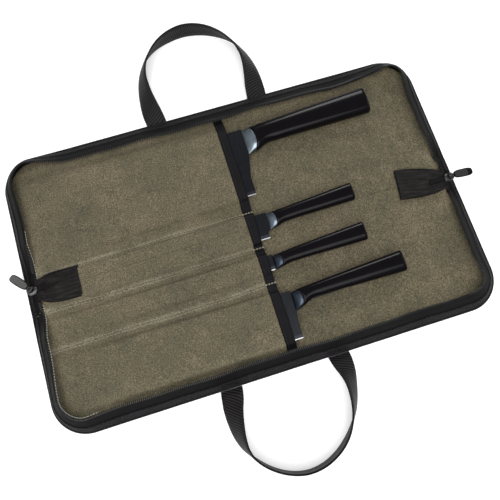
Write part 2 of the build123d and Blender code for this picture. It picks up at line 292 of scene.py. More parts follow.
def bend_at_fold(piece, half):
    """Bakes the piece's transform into its mesh, the same for either half; nothing is bent."""
    if half == "lower":
        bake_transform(piece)
    else:
        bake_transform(piece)


def half_grid(half, inset, columns, rows, right=None):
    """x and y over one half, from the spine's middle line to the edge, or up to x = right."""
    side = 1 if half == "upper" else -1
    length, width, corner = CASE_LENGTH / 2 - inset, CASE_WIDTH / 2 - inset, CORNER - inset
    turns = np.linspace(0, math.pi / 2, CORNER_ROWS + 1)[1:]
    straight = np.linspace(0, width - corner, rows - CORNER_ROWS)
    out = np.concatenate([straight, width - corner + corner * np.sin(turns)])
    past = np.clip(out - (width - corner), 0, corner)
    reach = length - corner + np.sqrt(np.maximum(corner**2 - past**2, 0))
    share = np.linspace(0, 1, columns)
    end = reach if right is None else np.full_like(reach, right)
    x = -reach[:, None] + (end + reach)[:, None] * share[None, :]
    y = np.repeat((side * out)[:, None], columns, axis=1)
    return (x, y) if side < 0 else (x[:, ::-1], y)


def slow_waves(x, y, seed, longest):
    """Gentle unevenness of hand-handled cloth, between about -1 and 1."""
    chance = random.Random(seed)
    total = np.zeros_like(x)
    for _ in range(WAVE_COUNT):
        angle = chance.uniform(0, math.pi)
        period = chance.uniform(0.3, 1.0) * longest
        reach = x * math.cos(angle) + y * math.sin(angle)
        total += np.sin(reach * 2 * math.pi / period + chance.uniform(0, 6.3))
    return total / WAVE_COUNT**0.5 / 1.5


COVER_INSET, COVER_TOP, COVER_LOWEST = 0.6, 3.1, 0.25
QUILT_RUN, CREASE_WIDTH = 16, 2.5
nylon = woven("black_nylon", (0.0075, 0.0072, 0.0078), 0.62, 0.9, (1.35, 1.15, 1.35))
for half in ("lower", "upper"):
    x, y = half_grid(half, COVER_INSET, 150, 76)
    away = np.minimum(CASE_LENGTH / 2 - np.abs(x), CASE_WIDTH / 2 - np.abs(y))
    quilt = np.clip(away / QUILT_RUN, 0, 1)
    crease = np.exp(-(((np.abs(y) - FOLD) / CREASE_WIDTH) ** 2))
    under = 0.9 - 0.5 * quilt**0.5 + 0.5 * crease + 0.12 * slow_waves(x, y, 3, 120)
    over = np.dstack([x, y, COVER_TOP + 0.15 * quilt])
    under = np.dstack([x, y, np.maximum(under, COVER_LOWEST)])
    cover = layer_of(f"cover_{half}", over, under, nylon)
    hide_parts(f"shell_{half}", f"foam_{half}", "shell_spine", "foam_spine")
    bend_at_fold(cover, half)


# Lining
# Olive waxed cotton canvas, laid over the foam and sewn in under the walls. The wax leaves it
# mottled, with pale rubbed flecks. Painted shade browns it where the walls meet it, and painted
# light brightens it along the walls.
def waxed_canvas(name):
    cloth = Finish(name, (0.12, 0.104, 0.068), 0.85, Specular_IOR_Level=0.15)
    broad = cloth.cloudy(62, 3, 0.55)
    patches = cloth.cloudy(13, 4, 0.6)
    grain = cloth.cloudy(1.25, 3, 0.75)
    fine = cloth.cloudy(0.6, 2, 0.6)
    shade = cloth.ramp(
        broad * 0.55 + patches * 0.45,
        (0.36, (0.082, 0.075, 0.049)),
        (0.50, (0.103, 0.089, 0.057)),
        (0.62, (0.128, 0.107, 0.071)),
    )
    speckled = cloth.ramp(
        grain * 0.7 + fine * 0.3,
        (0.34, (0.27, 0.265, 0.26)),
        (0.50, (1.0, 1.0, 1.0)),
        (0.65, (2.05, 2.03, 1.95)),
    )
    shade = cloth.mixed(1.0, shade, speckled, "MULTIPLY")
    # Painted light: the cloth is brightened along the walls, most on the near side.
    faded = cloth.node("ShaderNodeAttribute", {"attribute_name": "faded"}, {}, "Fac")
    shade = cloth.mixed(faded, shade, cloth.mixed(1.0, shade, (2.0, 2.02, 2.02), "MULTIPLY"))
    # Painted shade: the edge mark darkens and browns the cloth beside the walls and beside the
    # pocket seams.
    edge = cloth.node("ShaderNodeAttribute", {"attribute_name": "edge"}, {}, "Fac")
    worn = cloth.node("ShaderNodeAttribute", {"attribute_name": "worn"}, {}, "Fac")
    shade = cloth.mixed((edge * (patches * 0.8 + 0.25)).held(), shade, (0.062, 0.045, 0.034))
    pale = (worn * (fine * 8.0 - 3.9).held()).held()
    cloth.feed("Base Color", cloth.mixed(pale, shade, (0.36, 0.33, 0.245)))
    cloth.feed("Roughness", patches * 0.25 + 0.66)
    threads = cloth.rows(0.95, "X") * cloth.rows(0.85, "Y")
    cloth.raise_by(threads * 0.5 + grain * 0.9 + patches * 1.2, 0.32)
    return cloth


def smooth_rise(share):
    share = np.clip(share, 0, 1)
    return share * share * (3 - 2 * share)


def shade_by_walls(x, y):
    """Painted shade that browns the cloth by each wall: most at the two ends, a little on the far
    side.
    """
    ends = np.exp(-np.clip(CASE_LENGTH / 2 - np.abs(x) - 11, 0, 60) / 4.0)
    far = np.exp(-np.clip(CASE_WIDTH / 2 - y - 16, 0, 60) / 3.0)
    return np.clip(ends * 0.25 + far * 0.15, 0, 1)


def painted_wall_light(x, y):
    """Painted light that brightens the cloth along the walls, most on the near side."""
    near = np.exp(-(np.clip(CASE_WIDTH / 2 + y - 14, 0, 80) / 7.5) ** 1.3)
    far = np.exp(-(np.clip(CASE_WIDTH / 2 - y - 18, 0, 80) / 7.0) ** 1.3)
    ends = np.exp(-(np.clip(CASE_LENGTH / 2 - np.abs(x) - 14, 0, 80) / 7.0) ** 1.3)
    return np.clip(near + far * 0.35 + ends * 0.5, 0, 1)


WALL_FOOT = 2.4


def under_walls(x, y):
    """The highest the cloth may lie near the case's edge, so that it stays inside the walls."""
    end_gap, side_gap = CASE_LENGTH / 2 - np.abs(x), CASE_WIDTH / 2 - np.abs(y)
    by_fold = smooth_rise((46 - np.abs(y)) / 24)
    past_x, past_y = np.maximum(CORNER - end_gap, 0), np.maximum(CORNER - side_gap, 0)
    round_gap = np.where(past_x * past_y > 0, CORNER - np.hypot(past_x, past_y), 99)
    by_ends = (end_gap - WALL_FOOT) * (1.0 - 0.52 * by_fold)
    by_sides = (side_gap - WALL_FOOT) * np.where(y > 0, 0.72, 1.1)
    return 0.95 + np.minimum(np.minimum(by_ends, by_sides), round_gap - WALL_FOOT)


canvas = waxed_canvas("waxed_canvas")
LINING_TOP = 4.5
LINING_INSET, LINING_THICKNESS = 3.0, 0.8
for half in ("lower", "upper"):
    x, y = half_grid(half, LINING_INSET, 260, 96)
    away = np.minimum(CASE_LENGTH / 2 - np.abs(x), CASE_WIDTH / 2 - np.abs(y))
    top = LINING_TOP - 0.15 + 0.28 * slow_waves(x, y, 11, 95) * np.clip(away / 20, 0, 1)
    top = np.minimum(top - 0.4 * smooth_rise((14 - away) / 8), under_walls(x, y))
    over, under = np.dstack([x, y, top]), np.dstack([x, y, top - LINING_THICKNESS])
    # The marks carry painted shade beside the walls and painted light along them.
    marks = {"edge": shade_by_walls(x, y), "worn": x * 0, "faded": painted_wall_light(x, y)}
    lining = layer_of(f"lining_cloth_{half}", over, under, canvas, None, marks)
    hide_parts(f"lining_{half}", "lining_spine")
    bend_at_fold(lining, half)


# Pocket panel
# A second sheet of the same canvas over the left side, sewn through to the lining by two rows of
# pale thread between the pockets. It stands over each blade and sinks towards the closed end.
MOUTH = 2.0
POCKETS = [
    # knife, low and high side, how far the cloth slopes down beyond each, and the lift at the mouth
    ("chef", -124.2, -72.6, 6.0, 5.0, 8.71),
    ("paring", -50.7, -31.6, 5.0, 2.2, 7.32),
    ("utility", -17.9, 13.2, 1.2, 2.4, 7.3),
    ("broad", 32.0, 110.0, 6.0, 16.0, 8.54),
]
SEAM_LINES = [16.5, -22.3, -62.3]
ROW_GAP = 2.6
POCKET_INSET, POCKET_THICKNESS = 6.5, 0.75


def seam_line(line, x):
    """The sewn line's y at x; hands guide the cloth, so it wanders a little."""
    return line + 0.45 * np.sin(x / 31 + line) + 0.25 * np.sin(x / 11.7 + 2 * line)


def pocket_top(x, y):
    """Height of the pocket panel's upper face."""
    share = np.clip((MOUTH - x) / (MOUTH + CASE_LENGTH / 2), 0, 1)
    across = smooth_rise((y + 140) / 16) * smooth_rise((130 - y) / 16)
    at_fold = np.exp(-(((np.abs(y) - FOLD - 1.5) / 5.5) ** 2))
    stood = 5.4 * (1 - share) ** 5 * across * (1 - 0.95 * at_fold)
    fullness = np.zeros_like(x)
    for _, low, high, low_run, high_run, lift in POCKETS:
        stand = lift * (1 - share) + 0.8 * share
        bump = smooth_rise((y - (low - low_run)) / low_run)
        bump = bump * smooth_rise((high + high_run - y) / high_run)
        stood = np.maximum(stood, stand * bump)
        fullness = np.maximum(fullness, bump)
    height = LINING_TOP + 1.25 + stood
    away = np.full_like(x, 99.0)
    for line in SEAM_LINES:
        gap = y - seam_line(line, x)
        away = np.minimum(away, np.abs(gap))
        pucker = np.sin(x * 2 * math.pi / 7.3 + 1.7 * np.sin(x / 19 + line) + gap * 0.35)
        crest = np.exp(-(((np.abs(gap) - 3.8) / 1.9) ** 2))
        height += crest * (0.16 + 0.2 * pucker) * np.where(fullness > 0.02, 0.6, 1.0)
        height -= 0.3 * np.exp(-((np.abs(np.abs(gap) - ROW_GAP / 2) / 0.7) ** 2))
    loose = np.clip(away / 14, 0, 1)
    height += loose * (0.45 + 0.42 * slow_waves(x, y, 21, 70))
    return height


def rubbed_near_seams(x, y):
    """How far the cloth is rubbed pale: most beside the sewn lines, a little all over."""
    worn = np.full_like(x, 0.05)
    for line in SEAM_LINES:
        gap = y - seam_line(line, x)
        fade = 0.7 + 0.4 * np.sin(x / 17 + line * 3) + 0.3 * np.sin(x / 6.1)
        worn += fade * (
            np.exp(-(((gap - 1.9) / 1.3) ** 2)) + np.exp(-(((gap + 1.4) / 1.1) ** 2)) * 0.8
        )
    return np.clip(worn, 0, 1)


for half in ("lower", "upper"):
    x, y = half_grid(half, POCKET_INSET, 170, 120, right=MOUTH + 1.0)
    away = np.minimum(CASE_LENGTH / 2 + x, CASE_WIDTH / 2 - np.abs(y))
    # Painted shadow beside each sewn line, added to the painted wall shade.
    shadow = sum(
        0.2 * np.exp(-(((y - seam_line(line, x) + 4.6) / 2.2) ** 2))
        for line in SEAM_LINES
    )
    free = smooth_rise((away - 9) / 9)
    top = pocket_top(x, y) * free + (LINING_TOP + 0.35) * (1 - free)
    top = np.minimum(top, under_walls(x, y) + 0.5)
    over, under = np.dstack([x, y, top]), np.dstack([x, y, top - POCKET_THICKNESS])
    # The marks carry painted shade beside the walls and seams, real wear by the seams, and painted
    # light along the walls.
    marks = {
        "edge": np.clip(shade_by_walls(x, y) + shadow * 0.6, 0, 1),
        "worn": rubbed_near_seams(x, y),
        "faded": painted_wall_light(x, y),
    }
    panel = layer_of(f"pocket_cloth_{half}", over, under, canvas, None, marks)
    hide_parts(f"pocket_panel_{half}", "pocket_panel_spine")
    bend_at_fold(panel, half)


# Sewing thread
# Pale waxed thread in lock stitches about 4 mm long, sunk a little into the cloth.
def thread_finish(name, colour):
    thread = Finish(name, colour, 0.6, Specular_IOR_Level=0.3)
    twist = thread.cloudy(0.9, 2)
    thread.feed(
        "Base Color", thread.mixed(twist, [c * 0.7 for c in colour], [c * 1.15 for c in colour])
    )
    thread.raise_by(twist, 0.1)
    return thread


def stitches(name, ends, radius, finish):
    """One mesh of short threads, each a bowed capsule between a pair of points in millimetres."""
    points, faces = [], []
    for start, end in ends:
        start, end = np.array(start, float), np.array(end, float)
        along = (end - start) / np.linalg.norm(end - start)
        across = np.cross(along, (0, 0, 1.0))
        across = across / max(np.linalg.norm(across), 1e-6)
        lift = np.cross(across, along)
        base = len(points)
        for share, size in ((0, 0.25), (0.12, 0.85), (0.5, 1.0), (0.88, 0.85), (1, 0.25)):
            bow = math.sin(math.pi * share) * 0.9 - 0.35
            centre = start + (end - start) * share + lift * radius * bow
            for turn in range(6):
                angle = turn * math.pi / 3
                way = across * math.cos(angle) + lift * math.sin(angle)
                points.append(centre + radius * size * way)
        faces += net(5, 6, True, base)
        faces += [tuple(base + k for k in range(5, -1, -1)), tuple(base + 24 + k for k in range(6))]
    return piece_of(name, points, faces, finish)


pale_thread = thread_finish("pale_thread", (0.27, 0.245, 0.18))
black_thread = thread_finish("black_thread", (0.012, 0.012, 0.013))
STITCH_PITCH, STITCH_LENGTH = 4.0, 2.9
SEAM_START, SEAM_RUN = -224.0, 225
for number, line in enumerate(SEAM_LINES):
    ends = []
    for row in (-ROW_GAP / 2, ROW_GAP / 2):
        for step in range(int(SEAM_RUN / STITCH_PITCH)):
            start = SEAM_START + row + step * STITCH_PITCH
            x = np.array([start, start + STITCH_LENGTH])
            y = seam_line(line, x) + row
            z = pocket_top(x, y) + 0.12
            ends.append(list(zip(x, y, z)))
    seam = stitches(f"pocket_seam_{number + 1}", ends, 0.3, pale_thread)
    bend_at_fold(seam, "lower" if line < 0 else "upper")


# Pocket binding
# Black grosgrain tape folded over the pockets' free edge and sewn down along its left side. Pale
# bar tacks cross it where the seams between the pockets end.
BINDING_REACH = 139.0
BINDING_STITCHES, BINDING_PITCH, BINDING_STITCH = 44, 3.1, 2.2
grosgrain = Finish("black_grosgrain", (0.012, 0.012, 0.0135), 0.6, Specular_IOR_Level=0.1)
ribs = grosgrain.rows(1.3, "Y")
uneven = grosgrain.cloudy(22, 3)
grosgrain.feed(
    "Base Color", grosgrain.mixed(uneven, (0.0032, 0.0034, 0.0037), (0.0078, 0.0072, 0.0090))
)
grosgrain.raise_by(ribs + uneven, 0.22)
BINDING_PROFILE = [
    (0.0, 0.15), (0.3, 0.75), (1.4, 1.0), (3.0, 0.86), (5.5, 1.0), (8.2, 1.05), (9.4, 0.9),
    (10.0, 0.3), (9.9, -0.35), (9.2, -0.75), (7.0, -0.8), (3.0, -0.75), (1.0, -0.6), (0.6, -0.2),
]


def mouth_height(y):
    """How high the pocket panel stands at its free edge."""
    return float(pocket_top(np.array([MOUTH]), np.array([y]))[0])


for half in ("lower", "upper"):
    side = 1 if half == "upper" else -1
    out = np.linspace(0, BINDING_REACH, 190)
    points = []
    for reach in out:
        y = side * reach
        z = mouth_height(y) + 0.25
        wander = 0.35 * math.sin(y / 23) + 0.2 * math.sin(y / 8.5)
        for across, rise in BINDING_PROFILE:
            points.append((MOUTH + across + wander * min(across / 4, 1), y, z + rise))
    faces = tube(len(out), len(BINDING_PROFILE))
    if side > 0:
        faces = [face[::-1] for face in faces]
    binding = piece_of(f"pocket_tape_{half}", points, faces, grosgrain)
    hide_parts(f"pocket_binding_{half}", "pocket_binding_spine")
    bend_at_fold(binding, half)
    ends = []
    for step in range(BINDING_STITCHES):
        start = side * (1.0 + step * BINDING_PITCH)
        both = (start, start + BINDING_STITCH * side)
        ends.append([(MOUTH + 2.2, y, mouth_height(y) + 1.35) for y in both])
    seam = stitches(f"binding_seam_{half}", ends, 0.28, black_thread)
    bend_at_fold(seam, half)
for number, line in enumerate(SEAM_LINES):
    y = float(seam_line(line, np.array([MOUTH]))[0])
    z = mouth_height(y) + 1.5
    first, last = MOUTH - 1.0, MOUTH + 10.3
    ends = []
    for step in range(4):
        x = first + step * 3.0
        ends += [((x, y + row, z), (x + 2.4, y + row, z)) for row in (-0.35, 0.35)]
    ends.append(((first, y - 1.2, z - 0.5), (first, y + 1.2, z - 0.5)))
    ends.append(((last, y - 1.0, z - 0.5), (last, y + 1.0, z - 0.6)))
    tack = stitches(f"bar_tack_{number + 1}", ends, 0.36, pale_thread)
    bend_at_fold(tack, "lower" if line < 0 else "upper")


# Walls
# A strip of nylon is sewn up from each half's edge and leans inwards over the tray. It is soft, so
# it stands more upright at the corners and lies lower beside the folds. Its top is zipper tape.
WALL_SLANT = 26.0
WALL_LEAN = {"left": 13.6, "right": 17.5, "upper": 20.0, "lower": 14.5}
WALL_STEP = 1.5
FOLD_RISE = 6.3
CORNER_LEAN = {"upper": (12.2, 12.0), "lower": (12.8, 15.5)}


def wall_line(half):
    """Points along one half's edge from the left fold round to the right, with the way inwards."""
    side = 1 if half == "upper" else -1
    length, width = CASE_LENGTH / 2, CASE_WIDTH / 2
    straight = width - CORNER
    points, inward = [], []
    for reach in np.arange(0, straight, WALL_STEP):
        points.append((-length, side * reach))
        inward.append((1.0, 0.0))
    turns = np.linspace(0, math.pi / 2, 40)
    for turn in turns:
        x = -length + CORNER - CORNER * math.cos(turn)
        points.append((x, side * (straight + CORNER * math.sin(turn))))
        inward.append((math.cos(turn), -side * math.sin(turn)))
    for reach in np.arange(-length + CORNER + WALL_STEP, length - CORNER, WALL_STEP):
        points.append((reach, side * width))
        inward.append((0.0, -float(side)))
    for turn in turns[::-1]:
        x = length - CORNER + CORNER * math.cos(turn)
        points.append((x, side * (straight + CORNER * math.sin(turn))))
        inward.append((-math.cos(turn), -side * math.sin(turn)))
    for reach in np.arange(straight - WALL_STEP, -WALL_STEP / 2, -WALL_STEP):
        points.append((length, side * max(reach, 0)))
        inward.append((-1.0, 0.0))
    return np.array(points), np.array(inward)


def smoothed(values, width):
    kernel = np.exp(-(np.arange(-3 * width, 3 * width + 1) ** 2) / (2 * width**2))
    padded = np.pad(values, 3 * width, mode="edge")
    return np.convolve(padded, kernel / kernel.sum(), mode="valid")


def wall_shape(half):
    """How far the wall's top comes inwards, and how high it stands, at each point of its line."""
    points, inward = wall_line(half)
    on_left = points[:, 0] < 0
    at_ends = np.where(on_left, WALL_LEAN["left"], WALL_LEAN["right"])
    lean = np.where(np.abs(inward[:, 0]) > 0.98, at_ends, WALL_LEAN[half])
    corner = (np.abs(inward) > 0.03).all(axis=1)
    left, right = CORNER_LEAN[half]
    lean = np.where(corner, np.where(on_left, left, right), lean)
    if half == "lower":
        lean -= 2.4 * smooth_rise((-points[:, 1] - 45) / 35) * (points[:, 0] < -CASE_LENGTH / 2 + 1)
    else:
        lean -= 6.0 * np.exp(-(((points[:, 0] + 194) / 15) ** 2)) * (points[:, 1] > 120)
    lean = smoothed(lean, 12)
    along = np.concatenate([[0], np.cumsum(np.linalg.norm(np.diff(points, axis=0), axis=1))])
    waves = 0.55 * np.sin(along / 23 + 5) + 0.4 * np.sin(along / 9.7)
    lean += waves + 0.3 * np.sin(along / 41)
    height = np.sqrt(np.maximum(WALL_SLANT**2 - lean**2, 60)) * 0.93
    from_fold = np.abs(points[:, 1]) - FOLD
    limit = FOLD_RISE + 0.5 * np.where(from_fold > 0, from_fold, np.minimum(-from_fold, 7))
    low = np.minimum(height, limit)
    lean = np.where(low < height, np.minimum(lean, 9.8 + 0.32 * low), lean)
    return points, inward, smoothed(lean, 3), low, along


def wall_point(points, inward, lean, height, share, depth):
    """A point on the wall: share of the way up its slant, and depth inwards from its outer face."""
    slant = np.hypot(lean, height)
    bow = 1.1 * math.sin(math.pi * share)
    into = lean * share - (bow - depth) * height / slant
    rise = 0.7 + (height - 0.7) * share + (bow - depth) * lean / slant
    return np.column_stack([points + inward * into[:, None], rise])


def wall_band(name, half, profile, finish):
    """A closed band round one half from a profile of (share of the slant, depth) pairs."""
    points, inward, lean, height, along = wall_shape(half)
    lines = [wall_point(points, inward, lean, height, share, depth) for share, depth in profile]
    heights = [np.full_like(along, share * WALL_SLANT) for share, _ in profile]
    cuts = [np.column_stack([along, up_the_wall]) for up_the_wall in heights]
    rings, flat = np.stack(lines, axis=1), np.stack(cuts, axis=1)
    rows, sides = rings.shape[:2]
    faces = tube(rows, sides)
    if half == "upper":
        faces = [face[::-1] for face in faces]
    return piece_of(name, rings, faces, finish, flat)


def on_line(marks, along, line):
    """Points at the marks on a line known at its lengths along."""
    return np.column_stack([np.interp(marks, along, line[:, axis]) for axis in range(3)])


def tooth(base):
    """Faces of one zipper tooth: three square rings with a cap at each end."""
    caps = [tuple(base + k for k in (3, 2, 1, 0)), tuple(base + 8 + k for k in range(4))]
    return net(3, 4, True, base) + caps


wall_nylon = Finish("wall_nylon", (0.0085, 0.0082, 0.0088), 0.6, Specular_IOR_Level=0.06)
threads = wall_nylon.rows(0.9, "X") * 0.5 + wall_nylon.rows(0.9, "Y") * 0.5
patches = wall_nylon.cloudy(30, 4, 0.6)
shade = wall_nylon.ramp(
    patches,
    (0.36, (0.0036, 0.0038, 0.0035)),
    (0.5, (0.0060, 0.0056, 0.0060)),
    (0.64, (0.0110, 0.0088, 0.0118)),
)
lint = wall_nylon.cloudy(1.3, 3, 0.7) ** 6.0 * 6.0
wall_nylon.feed("Base Color", wall_nylon.mixed(lint.held(), shade, (0.060, 0.058, 0.060)))
wall_nylon.feed("Roughness", patches * 0.25 + 0.48)
wall_nylon.raise_by(threads * 0.5 + wall_nylon.cloudy(9, 3) * 2.2, 0.3)

tape_cloth = Finish("zipper_tape_cloth", (0.006, 0.006, 0.0063), 0.6, Specular_IOR_Level=0.06)
cut = tape_cloth.node("ShaderNodeUVMap", {"uv_map": "cut"}, {})
ridges = tape_cloth.rows(1.1, "Y", cut) * 0.7 + tape_cloth.rows(0.8, "X", cut) * 0.3
tape_cloth.feed(
    "Base Color", tape_cloth.mixed(ridges, (0.0025, 0.0025, 0.0027), (0.0095, 0.0092, 0.0098))
)
tape_cloth.raise_by(ridges, 0.2)

coil_plastic = Finish("coil_plastic", (0.024, 0.024, 0.0245), 0.35, Specular_IOR_Level=0.2)
# Painted highlights: the tips of the teeth are painted pale in specks, standing in for glints of
# light.
speckled = coil_plastic.cloudy(1.6, 2, 0.6)
tip = coil_plastic.node("ShaderNodeAttribute", {"attribute_name": "tip"}, {}, "Fac")
glint = coil_plastic.ramp(speckled, (0.42, (0.05, 0.05, 0.05)), (0.55, (0.42, 0.415, 0.39)))
coil_plastic.feed("Base Color", coil_plastic.mixed(tip, (0.0055, 0.0055, 0.0058), glint))
coil_plastic.feed("Roughness", speckled * 0.3 + 0.2)

grey_thread = thread_finish("grey_thread", (0.52, 0.52, 0.50))
GUSSET_PROFILE = [
    (0.0, -0.2), (0.03, -0.9), (0.075, -0.75), (0.10, 0.0), (0.2, 0.0), (0.3, 0.0), (0.4, 0.0),
    (0.455, -0.1), (0.47, 0.12), (0.49, -0.35), (0.525, -0.3), (0.53, 0.25), (0.5, 0.9), (0.4, 1.1),
    (0.3, 1.2), (0.2, 1.2), (0.1, 1.2), (0.02, 1.2),
]
TAPE_PROFILE = [
    (0.50, 0.3), (0.6, 0.25), (0.7, 0.3), (0.78, 0.2), (0.86, 0.25), (0.93, 0.1), (0.955, 0.4),
    (0.93, 1.0), (0.86, 1.0), (0.7, 1.0), (0.5, 1.0),
]
TOOTH_PITCH = 1.9
TOOTH_RINGS = ((-1.0, 0.6), (0.55, 0.66), (1.2, 0.42))
SQUARE = ((-1, -1), (1, -1), (1, 1), (-1, 1))
GUIDE_PITCH, GUIDE_STITCH, UPPER_GUIDE_END = 2.7, 1.5, 62
WALL_PITCH, WALL_STITCH = 3.6, 2.5
for half in ("lower", "upper"):
    gusset = wall_band(f"wall_{half}", half, GUSSET_PROFILE, wall_nylon)
    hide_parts(f"gusset_{half}", "end_gusset_left", "end_gusset_right")
    tape = wall_band(f"wall_tape_{half}", half, TAPE_PROFILE, tape_cloth)
    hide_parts(f"zipper_tape_{half}")

    points, inward, lean, height, along = wall_shape(half)
    middle = wall_point(points, inward, lean, height, 0.965, 0.1)
    inner = wall_point(points, inward, lean, height, 0.985, 1.6)
    upper = wall_point(points, inward, lean, height, 1.04, 0.6)
    keep = np.abs(points[:, 1]) > 11
    marks = np.arange(along[keep][0], along[keep][-1], TOOTH_PITCH)
    lines = (middle, inner - middle, upper - middle)
    centres, depths, rises = (on_line(marks, along, line) for line in lines)
    ways = np.gradient(centres, axis=0)
    ways /= np.linalg.norm(ways, axis=1)[:, None]
    depths /= np.linalg.norm(depths, axis=1)[:, None]
    rises /= np.linalg.norm(rises, axis=1)[:, None]
    # How strongly each tooth's tip is painted with a highlight: more where the teeth's y is below
    # -100 mm.
    shine = 0.02 + 0.05 * (centres[:, 1] < -100)
    teeth, faces, tips = [], [], []
    for number, (centre, way, into, rise) in enumerate(zip(centres, ways, depths, rises)):
        base = len(teeth)
        for climb, wide in TOOTH_RINGS:
            for a, b in SQUARE:
                skew = climb * 0.18
                deep = 0.85 + b * 1.2 * (0.5 if climb > 1 else 1)
                teeth.append(centre + rise * climb + way * (a * wide + skew) + into * deep)
                tips.append(shine[number] if climb > 1 else 0.0)
        faces += tooth(base)
    coil = piece_of(f"zipper_teeth_{half}", teeth, faces, coil_plastic, None, {"tip": tips})
    coil.data.polygons.foreach_set("use_smooth", [False] * len(coil.data.polygons))
    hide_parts(f"zipper_coil_{half}")

    top_row = wall_point(points, inward, lean, height, 1.09, 1.5)
    past_corner = along[np.argmax(points[:, 0] > -CASE_LENGTH / 2 + CORNER + 8)]
    last = past_corner if half == "lower" else UPPER_GUIDE_END
    marks = np.arange(along[keep][0] + 2, last, GUIDE_PITCH)
    spots = [on_line(marks + shift, along, top_row) for shift in (0, GUIDE_STITCH)]
    guide = stitches(f"zipper_guide_{half}", list(zip(*spots)), 0.3, grey_thread)

    row = wall_point(points, inward, lean, height, 0.435, -0.12)
    marks = np.arange(along[keep][0] + 3, along[keep][-1] - 3, WALL_PITCH)
    spots = [on_line(marks + shift, along, row) for shift in (0, WALL_STITCH)]
    seam = stitches(f"wall_seam_{half}", list(zip(*spots)), 0.27, black_thread)
    for piece in (gusset, tape, coil, guide, seam):
        bend_at_fold(piece, half)


# End tabs
# Wide black webbing, doubled under at its inner end and box-stitched to the cloth. It bulges up
# and narrows to the slider, where it holds the two ends of the zipper.
TABS = {
    # end: stations of (x, y of the middle, width, height of the underside)
    "left": [
        (-174.6, -0.4, 32.8, 6.3), (-186, -0.3, 32.6, 7.2), (-198, -0.2, 32.0, 8.4),
        (-208, 0.0, 29.0, 9.4), (-215, 0.4, 24.0, 9.7), (-219.5, 1.2, 19.0, 9.7),
    ],
    "right": [
        (169.4, 0.7, 33.0, 4.9), (182, -1.6, 33.6, 5.9), (195, -4.6, 31.6, 7.2),
        (206, -6.8, 27.6, 8.7), (214, -8.2, 23.0, 9.7), (218.5, -8.8, 19.5, 9.7),
    ],
}
TAB_SKEW = {"left": 0.0, "right": 4.4}
TAB_BULGE = {"left": 2.4, "right": 0.9}
TAB_THICKNESS = 1.7
webbing = Finish("black_webbing", (0.012, 0.0115, 0.012), 0.55, Specular_IOR_Level=0.1)
cut = webbing.node("ShaderNodeUVMap", {"uv_map": "cut"}, {})
slanted = webbing.node(
    "ShaderNodeMapping", {}, {"Vector": cut, "Rotation": (0, 0, math.radians(24))}
)
across = webbing.rows(2.5, "X", slanted)
lengthwise = webbing.rows(2.2, "Y", cut)
rib = (across * 0.75 + lengthwise * 0.25).held()
worn = webbing.cloudy(16, 3)
shade = webbing.mixed(rib ** 1.6, (0.0008, 0.0008, 0.0008), (0.034, 0.0315, 0.0325))
webbing.feed("Base Color", webbing.mixed(worn * 0.35, shade, (0.0085, 0.0070, 0.0070)))
webbing.feed("Roughness", worn * 0.2 + 0.42)
webbing.raise_by(rib, 0.35)

tab_webbing = Finish("tab_webbing", (0.018, 0.0155, 0.015), 0.5, Specular_IOR_Level=0.1)
cut = tab_webbing.node("ShaderNodeUVMap", {"uv_map": "cut"}, {})
# Painted sheen: lighter streaks along the webbing are painted into its colour.
sheen_streaks = tab_webbing.cloudy(3.2, 3, 0.6, cut, (0.22, 1.4, 1.0))
ribs = tab_webbing.rows(1.5, "Y", cut)
shade = tab_webbing.ramp(
    sheen_streaks,
    (0.37, (0.0032, 0.0028, 0.0027)),
    (0.5, (0.0085, 0.0070, 0.0067)),
    (0.62, (0.021, 0.0175, 0.0165)),
)
tab_webbing.feed("Base Color", tab_webbing.mixed(ribs * 0.4, shade, (0.006, 0.0055, 0.0055)))
tab_webbing.feed("Roughness", sheen_streaks * 0.35 + 0.32)
tab_webbing.raise_by(ribs * 0.6 + sheen_streaks, 0.3)
for end, side in (("left", -1), ("right", 1)):
    stations = np.array(TABS[end])
    shares = np.linspace(0, 1, 44)
    known = np.linspace(0, 1, len(stations))
    rows = np.column_stack(
        [smoothed(np.interp(shares, known, stations[:, k]), 2) for k in range(4)]
    )
    rows[0], rows[-1] = stations[0], stations[-1]
    across_share = np.linspace(-1, 1, 23)
    top = np.zeros((len(rows), len(across_share), 3))
    flat = np.zeros((len(rows), len(across_share), 2))
    for r, (x, y, width, low) in enumerate(rows):
        bulge = math.sin(math.pi * min(shares[r] * 1.45, 1.0)) ** 0.8
        for c, s in enumerate(across_share):
            curl = 0.35 * math.sin(shares[r] * 13 + s * 2) * abs(s)
            ripple = 0.35 * math.sin(shares[r] * 21 + s * 3.0)
            rise = bulge * (TAB_BULGE[end] * (1 - abs(s) ** 2.2)) + ripple * bulge + curl * bulge
            skew = TAB_SKEW[end] * s / 2 * (1 - shares[r])
            top[r, c] = (x + skew, y + s * width / 2, low + TAB_THICKNESS + max(rise, 0))
            flat[r, c] = (shares[r] * 48, s * 16)
    if side < 0:
        top, flat = top[::-1], flat[::-1]
    bottom = top.copy()
    bottom[:, :, 2] -= 1.6 - 0.5 * (np.abs(across_share) > 0.96)[None, :]
    tab = layer_of(f"tab_webbing_{end}", top, bottom, tab_webbing, flat)
    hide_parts(f"end_tab_{end}")
    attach(tab, "spine")
    box = [(0.04, -0.84), (0.04, 0.84), (0.20, 0.84), (0.20, -0.84), (0.04, -0.84)]
    legs = []
    grid = top[::-1] if side < 0 else top

    def on_tab(share, s):
        row, column = share * (len(rows) - 1), (s + 1) / 2 * (len(across_share) - 1)
        return grid[int(row), int(column)] + (0, 0, 0.15)

    for (a, b), (c, d) in zip(box, box[1:]):
        count = 9 if a == c else 3
        for k in range(count):
            both = (k / count, (k + 0.62) / count)
            legs.append(tuple(on_tab(a + (c - a) * part, b + (d - b) * part) for part in both))
    legs = [leg for leg in legs if np.linalg.norm(leg[0] - leg[1]) > 0.5]
    box_seam = stitches(f"tab_seam_{end}", legs, 0.3, black_thread)
    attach(box_seam, "spine")


